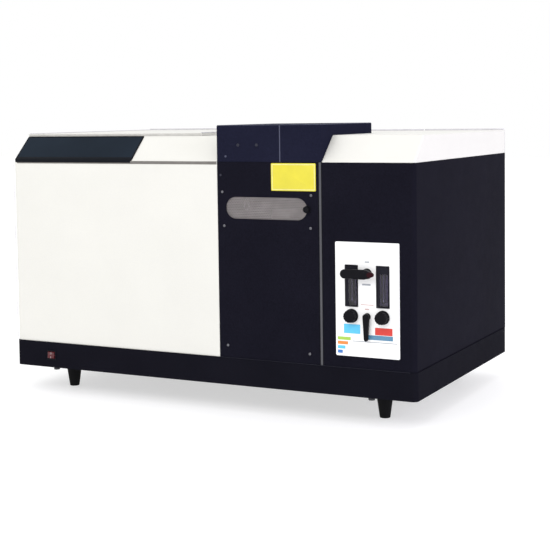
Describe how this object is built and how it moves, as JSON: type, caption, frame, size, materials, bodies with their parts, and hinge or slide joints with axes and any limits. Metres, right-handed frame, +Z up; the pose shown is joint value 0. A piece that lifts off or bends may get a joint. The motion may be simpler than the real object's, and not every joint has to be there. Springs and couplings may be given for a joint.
{
  "type": "atomic absorption spectrometer",
  "caption": "Bench spectrometer: white and black sheet cabinet with lamp lid, burner bay with window and hood, gas control panel, optics, burner and electronics inside.",
  "frame": {"origin": "on the bench, under the middle of the cabinet", "axes": "+X to the right seen from the front, +Y to the rear, +Z up"},
  "size_m": [1.004, 0.661, 0.618],
  "materials": {
    "black_panel": "satin powder coat",
    "white_panel": "satin powder coat",
    "hood_paint": "satin powder coat",
    "plinth_paint": "satin powder coat",
    "bare_strip": "brushed",
    "mesh_steel": "perforated, dull",
    "bench_alloy": "anodised",
    "machined_steel": "machined",
    "screw_steel": "blackened",
    "tinted_window": "smoked acrylic",
    "fascia_film": "printed film",
    "knob_plastic": "moulded",
    "frame_plastic": "moulded",
    "clear_block": "polished acrylic",
    "float_steel": "polished",
    "rocker_red": "moulded",
    "foot_rubber": "moulded",
    "lamp_glass": "clear",
    "lens_glass": "polished",
    "socket_plastic": "moulded",
    "housing_paint": "satin",
    "chamber_polymer": "moulded",
    "burner_steel": "heat tinted",
    "carriage_alloy": "milled",
    "mirror_face": "first surface",
    "grating_glass": "ruled",
    "board_green": "laminate",
    "fan_plastic": "moulded",
    "inlet_plastic": "moulded",
    "port_metal": "plated",
    "fitting_brass": "turned",
    "pipe_copper": "drawn",
    "hinge_steel": "plated"
  },
  "bodies": {
    "root": {"base_tray": "plinth_paint", "feet": "foot_rubber", "base_bolts": "screw_steel", "chassis_deck": "bench_alloy", "left_shell": "white_panel", "right_shell": "black_panel", "rear_panel": "black_panel", "socket_panel": "black_panel", "left_roof": "white_panel", "right_roof": "white_panel", "bay_roof": "white_panel", "slope_window": "tinted_window", "roof_hinges": "hinge_steel", "burner_front_panel": "black_panel", "window_mesh": "mesh_steel", "bay_trim_strip": "bare_strip", "bay_walls": "black_panel", "flowmeter_frames": "frame_plastic", "flowmeter_tubes": "clear_block", "valve_block": "bench_alloy", "gas_fascia": "fascia_film", "rocker_frame": "frame_plastic", "optical_benches": "bench_alloy", "turret_bracket": "bench_alloy", "background_lamp": "housing_paint", "lens_barrels": "machined_steel", "lenses": "lens_glass", "guide_column": "machined_steel", "monochromator_case": "housing_paint", "mirrors": "mirror_face", "detector_housing": "housing_paint", "power_supply": "bench_alloy", "control_board": "board_green", "fan_frame": "fan_plastic", "power_inlet": "inlet_plastic", "data_port": "port_metal", "gas_inlets": "fitting_brass", "gas_pipes": "pipe_copper"},
    "lid": {"lamp_lid": "white_panel", "lid_skirt": "white_panel"},
    "hood": {"burner_hood": "hood_paint"},
    "rocker": {"power_rocker": "rocker_red"},
    "left_knob": {"needle_knob_left": "knob_plastic"},
    "right_knob": {"needle_knob_right": "knob_plastic"},
    "gas_handle": {"gas_lever": "knob_plastic"},
    "mode_handle": {"mode_lever": "knob_plastic"},
    "left_float": {"float_left": "float_steel"},
    "right_float": {"float_right": "float_steel"},
    "mesh_catch": {"mesh_knob": "knob_plastic"},
    "turret": {"lamp_turret": "carriage_alloy", "cathode_lamps": "lamp_glass", "lamp_sockets": "socket_plastic"},
    "burner": {"burner_carriage": "carriage_alloy", "burner_head": "burner_steel", "spray_chamber": "chamber_polymer", "nebulizer": "machined_steel"},
    "pinion": {"height_pinion": "machined_steel"},
    "grating": {"grating_table": "grating_glass"},
    "fan": {"fan_rotor": "fan_plastic"}
  },
  "joints": [
    {"name": "lid_hinge", "type": "hinge", "parent": "root", "child": "lid", "pos_m": [-0.26, 0.2965, 0.6], "axis": [-1, 0, 0], "range_deg": [0, 100]},
    {"name": "hood_hinge", "type": "hinge", "parent": "root", "child": "hood", "pos_m": [0.17275, -0.0295, 0.6], "axis": [-1, 0, 0], "range_deg": [0, 100]},
    {"name": "rocker_tilt", "type": "hinge", "parent": "root", "child": "rocker", "pos_m": [-0.40065, -0.307, 0.0868], "axis": [1, 0, 0], "range_deg": [0, 16]},
    {"name": "left_knob_turn", "type": "hinge", "parent": "root", "child": "left_knob", "pos_m": [0.36185, -0.307, 0.226], "axis": [0, -1, 0], "range_deg": [0, 720]},
    {"name": "right_knob_turn", "type": "hinge", "parent": "root", "child": "right_knob", "pos_m": [0.43075, -0.307, 0.226], "axis": [0, -1, 0], "range_deg": [0, 720]},
    {"name": "gas_lever_turn", "type": "hinge", "parent": "root", "child": "gas_handle", "pos_m": [0.3963, -0.307, 0.314], "axis": [0, 1, 0], "range_deg": [0, 90]},
    {"name": "mode_lever_turn", "type": "hinge", "parent": "root", "child": "mode_handle", "pos_m": [0.3963, -0.307, 0.226], "axis": [0, 1, 0], "range_deg": [-40, 40]},
    {"name": "left_float_rise", "type": "slide", "parent": "root", "child": "left_float", "axis": [0, 0, 1], "range_m": [0, 0.056]},
    {"name": "right_float_rise", "type": "slide", "parent": "root", "child": "right_float", "axis": [0, 0, 1], "range_m": [0, 0.056]},
    {"name": "mesh_catch_turn", "type": "hinge", "parent": "root", "child": "mesh_catch", "pos_m": [0.26305, -0.305, 0.442], "axis": [0, 1, 0], "range_deg": [0, 90]},
    {"name": "turret_turn", "type": "hinge", "parent": "root", "child": "turret", "pos_m": [-0.19, -0.17, 0.495], "axis": [1, 0, 0], "continuous": true},
    {"name": "burner_rise", "type": "slide", "parent": "root", "child": "burner", "axis": [0, 0, 1], "range_m": [-0.015, 0.015]},
    {"name": "pinion_turn", "type": "hinge", "parent": "root", "child": "pinion", "pos_m": [0.17275, -0.03805, 0.275], "axis": [1, 0, 0], "range_deg": [-71.7, 71.7]},
    {"name": "grating_turn", "type": "hinge", "parent": "root", "child": "grating", "pos_m": [0.41025, -0.08, 0.44], "axis": [0, 0, 1], "range_deg": [-30, 30]},
    {"name": "fan_spin", "type": "hinge", "parent": "root", "child": "fan", "pos_m": [-0.37, 0.29, 0.417], "axis": [0, 1, 0], "continuous": true}
  ],
  "couplings": [
    {"joint": "pinion_turn", "follows": "burner_rise", "rad_per_m": -83.333}
  ]
}
